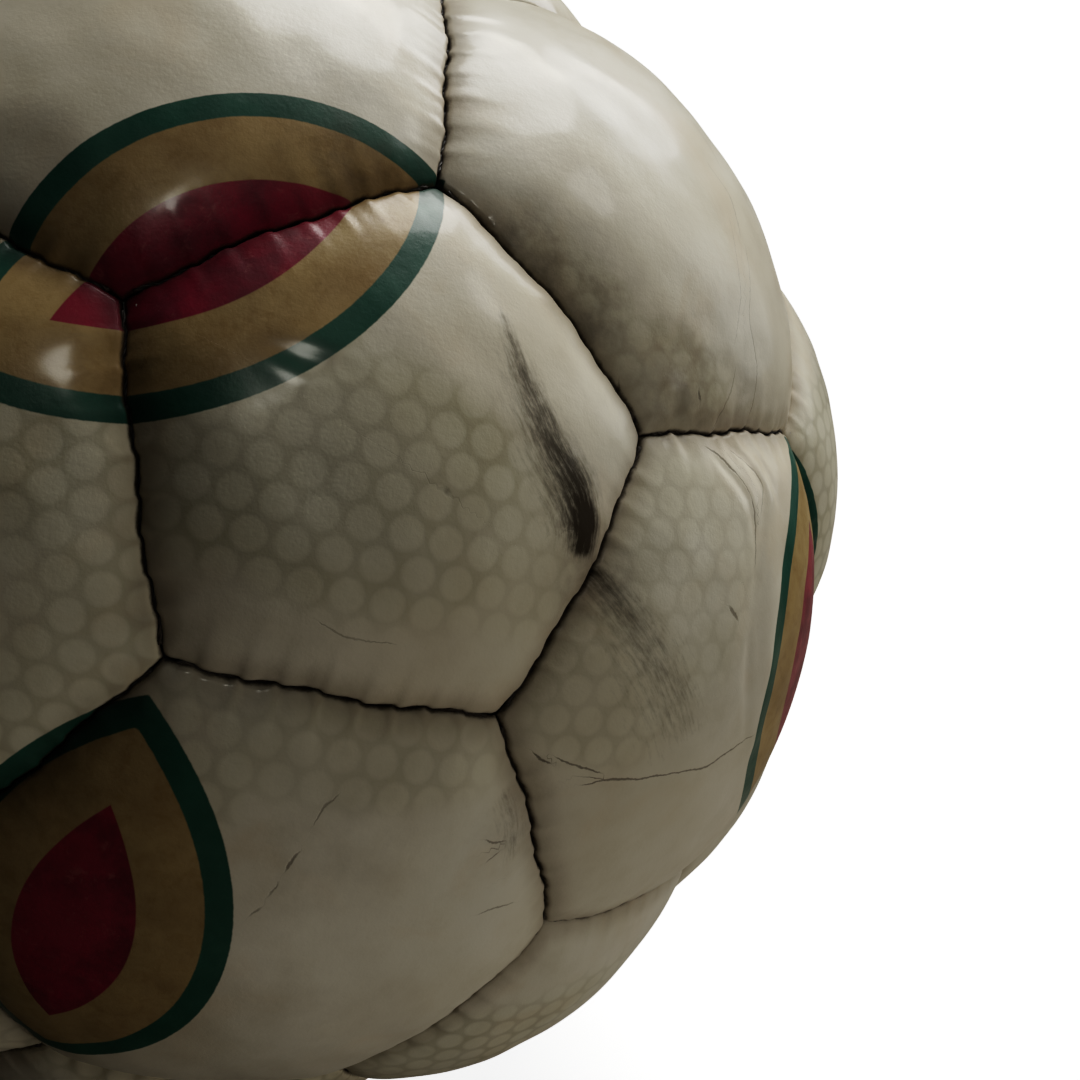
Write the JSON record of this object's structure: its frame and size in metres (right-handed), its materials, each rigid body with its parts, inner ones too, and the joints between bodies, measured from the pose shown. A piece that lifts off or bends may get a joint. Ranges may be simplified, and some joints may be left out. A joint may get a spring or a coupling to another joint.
{
  "type": "soccer ball",
  "caption": "Hand-stitched inflatable sports ball with pentagon and hexagon cover panels round a rubber bladder, and a push-in needle valve.",
  "frame": {"origin": "the centre of the ball", "axes": "+Z out through the valve, in the middle of the top pentagon. The YZ plane is a mirror plane of the panels, and -Y is the side with an upper pentagon on that plane."},
  "size_m": [0.2152, 0.2186, 0.2198],
  "materials": {
    "cover_leather": "glossy coated leather, worn, off-white",
    "foam": null,
    "lining_cloth": "layers of woven cotton and polyester",
    "waxed_thread": "waxed polyester cord, grimed",
    "bladder_rubber": "satin black butyl",
    "valve_rubber": "matt grey rubber",
    "plug_rubber": "matt black rubber",
    "valve_patch_cloth": "rubberised cloth",
    "patch_rubber": "satin black butyl"
  },
  "bodies": {
    "ball": {"pentagon_panel_01": "cover_leather", "pentagon_panel_02": "cover_leather", "pentagon_panel_03": "cover_leather", "pentagon_panel_04": "cover_leather", "pentagon_panel_05": "cover_leather", "pentagon_panel_06": "cover_leather", "pentagon_panel_07": "cover_leather", "pentagon_panel_08": "cover_leather", "pentagon_panel_09": "cover_leather", "pentagon_panel_10": "cover_leather", "pentagon_panel_11": "cover_leather", "pentagon_panel_12": "cover_leather", "hexagon_panel_01": "cover_leather", "hexagon_panel_02": "cover_leather", "hexagon_panel_03": "cover_leather", "hexagon_panel_04": "cover_leather", "hexagon_panel_05": "cover_leather", "hexagon_panel_06": "cover_leather", "hexagon_panel_07": "cover_leather", "hexagon_panel_08": "cover_leather", "hexagon_panel_09": "cover_leather", "hexagon_panel_10": "cover_leather", "hexagon_panel_11": "cover_leather", "hexagon_panel_12": "cover_leather", "hexagon_panel_13": "cover_leather", "hexagon_panel_14": "cover_leather", "hexagon_panel_15": "cover_leather", "hexagon_panel_16": "cover_leather", "hexagon_panel_17": "cover_leather", "hexagon_panel_18": "cover_leather", "hexagon_panel_19": "cover_leather", "hexagon_panel_20": "cover_leather", "pentagon_foam_pads": "foam", "hexagon_foam_pads": "foam", "pentagon_linings": "lining_cloth", "hexagon_linings": "lining_cloth", "pentagon_seam_threads": "waxed_thread", "hexagon_seam_threads": "waxed_thread", "bladder": "bladder_rubber", "valve_housing": "valve_rubber", "valve_patch": "valve_patch_cloth", "balance_patch": "patch_rubber"},
    "valve_plug": {"valve_plug": "plug_rubber"}
  },
  "joints": [
    {"name": "valve_plug_slide", "type": "slide", "parent": "ball", "child": "valve_plug", "axis": [0, 0, 1], "range_m": [0, 0.025]}
  ]
}
